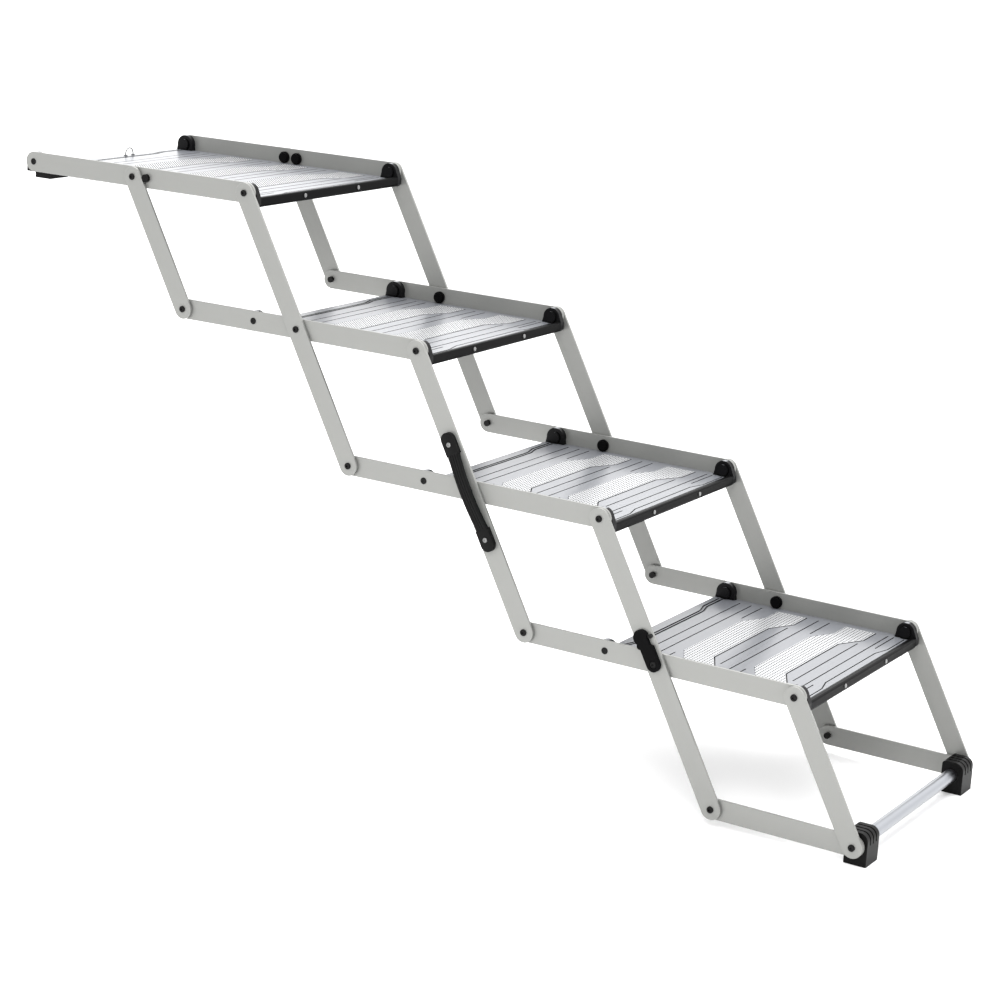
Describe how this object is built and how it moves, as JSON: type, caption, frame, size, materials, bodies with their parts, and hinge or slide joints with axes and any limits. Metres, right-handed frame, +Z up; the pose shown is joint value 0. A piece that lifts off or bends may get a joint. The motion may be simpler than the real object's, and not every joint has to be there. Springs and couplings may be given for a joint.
{
  "type": "folding pet stairs",
  "caption": "Folding pet stairs: slatted plastic treads carried between flat metal rails and sloping legs that fold flat as one linked lattice, with a carry strap and a swinging latch.",
  "frame": {"origin": "bottom centre of the unfolded stairs' overall box, on the floor", "axes": "+X from the top tread towards the floor end, +Y to the climber's right, +Z up"},
  "size_m": [1.4788, 0.4038, 0.7877],
  "materials": {
    "bar_metal": "satin anodised",
    "tube_metal": "bright drawn",
    "tread_plastic": "moulded, semi-gloss",
    "black_plastic": "moulded, satin",
    "handle_plastic": "fine ribbed",
    "washer_plastic": "matte",
    "grip_rubber": "matte",
    "black_steel": "black oxide",
    "bright_steel": "polished"
  },
  "bodies": {
    "floor_frame": {"tier4_rail_left": "bar_metal", "tier4_rail_right": "bar_metal", "tier4_bolts": "black_steel", "tier4_washers": "washer_plastic", "tier4_end_nuts": "black_steel", "foot_left": "grip_rubber", "foot_right": "grip_rubber", "cross_tube": "tube_metal"},
    "low_tread": {"tier3_rail_left": "bar_metal", "tier3_rail_right": "bar_metal", "tier3_bolts": "black_steel", "tier3_washers": "washer_plastic", "tier3_end_nuts": "black_steel", "tier3_cap_nuts": "black_plastic", "tier3_deck": "tread_plastic", "tier3_nosing": "black_plastic", "tier3_nosing_screws": "bright_steel"},
    "middle_tread": {"tier2_rail_left": "bar_metal", "tier2_rail_right": "bar_metal", "tier2_bolts": "black_steel", "tier2_washers": "washer_plastic", "tier2_end_nuts": "black_steel", "tier2_cap_nuts": "black_plastic", "tier2_deck": "tread_plastic", "tier2_nosing": "black_plastic", "tier2_nosing_screws": "bright_steel"},
    "high_tread": {"tier1_rail_left": "bar_metal", "tier1_rail_right": "bar_metal", "tier1_bolts": "black_steel", "tier1_washers": "washer_plastic", "tier1_end_nuts": "black_steel", "tier1_cap_nuts": "black_plastic", "tier1_deck": "tread_plastic", "tier1_nosing": "black_plastic", "tier1_nosing_screws": "bright_steel"},
    "top_tread": {"tier0_rail_left": "bar_metal", "tier0_rail_right": "bar_metal", "tier0_bolts": "black_steel", "tier0_washers": "washer_plastic", "tier0_cap_nuts": "black_plastic", "tier0_deck": "tread_plastic", "tier0_nosing": "black_plastic", "tier0_nosing_screws": "bright_steel", "leg_stops": "grip_rubber", "top_feet": "grip_rubber", "tether_loop": "bright_steel"},
    "legs_1": {"leg1_left": "bar_metal", "leg1_right": "bar_metal"},
    "legs_2": {"leg2_left": "bar_metal", "leg2_right": "bar_metal"},
    "legs_3": {"leg3_left": "bar_metal", "leg3_right": "bar_metal", "handle": "handle_plastic", "handle_screws": "bright_steel"},
    "legs_4": {"leg4_left": "bar_metal", "leg4_right": "bar_metal", "latch_stud": "black_steel"},
    "legs_5": {"leg5_left": "bar_metal", "leg5_right": "bar_metal"},
    "latch": {"latch": "black_plastic"}
  },
  "joints": [
    {"name": "fold", "type": "hinge", "parent": "floor_frame", "child": "legs_5", "pos_m": [0.72086, 0.00475, 0.027], "axis": [0, 1, 0], "range_deg": [0, 108]},
    {"name": "low_tread_on_legs_5", "type": "hinge", "parent": "legs_5", "child": "low_tread", "pos_m": [0.61993, 0.00475, 0.21343], "axis": [0, 1, 0], "range_deg": [-108, 0]},
    {"name": "legs_4_on_low_tread", "type": "hinge", "parent": "low_tread", "child": "legs_4", "pos_m": [0.40993, 0.00475, 0.21343], "axis": [0, 1, 0], "range_deg": [0, 108]},
    {"name": "middle_tread_on_legs_4", "type": "hinge", "parent": "legs_4", "child": "middle_tread", "pos_m": [0.309, 0.00475, 0.39987], "axis": [0, 1, 0], "range_deg": [-108, 0]},
    {"name": "legs_3_on_middle_tread", "type": "hinge", "parent": "middle_tread", "child": "legs_3", "pos_m": [0.099, 0.00475, 0.39987], "axis": [0, 1, 0], "range_deg": [0, 108]},
    {"name": "high_tread_on_legs_3", "type": "hinge", "parent": "legs_3", "child": "high_tread", "pos_m": [-0.00193, 0.00475, 0.5863], "axis": [0, 1, 0], "range_deg": [-108, 0]},
    {"name": "legs_2_on_high_tread", "type": "hinge", "parent": "high_tread", "child": "legs_2", "pos_m": [-0.21193, 0.00475, 0.5863], "axis": [0, 1, 0], "range_deg": [0, 108]},
    {"name": "top_tread_on_legs_2", "type": "hinge", "parent": "legs_2", "child": "top_tread", "pos_m": [-0.31286, 0.00475, 0.77273], "axis": [0, 1, 0], "range_deg": [-108, 0]},
    {"name": "legs_1_on_top_tread", "type": "hinge", "parent": "top_tread", "child": "legs_1", "pos_m": [-0.52286, 0.00475, 0.77273], "axis": [0, 1, 0], "range_deg": [0, 108]},
    {"name": "latch_swing", "type": "hinge", "parent": "legs_4", "child": "latch", "pos_m": [0.40993, -0.19285, 0.21343], "axis": [0, -1, 0], "range_deg": [0, 81.8]}
  ],
  "couplings": [
    {"joint": "low_tread_on_legs_5", "follows": "fold", "ratio": -1},
    {"joint": "legs_4_on_low_tread", "follows": "fold", "ratio": 1},
    {"joint": "middle_tread_on_legs_4", "follows": "fold", "ratio": -1},
    {"joint": "legs_3_on_middle_tread", "follows": "fold", "ratio": 1},
    {"joint": "high_tread_on_legs_3", "follows": "fold", "ratio": -1},
    {"joint": "legs_2_on_high_tread", "follows": "fold", "ratio": 1},
    {"joint": "top_tread_on_legs_2", "follows": "fold", "ratio": -1},
    {"joint": "legs_1_on_top_tread", "follows": "fold", "ratio": 1}
  ]
}
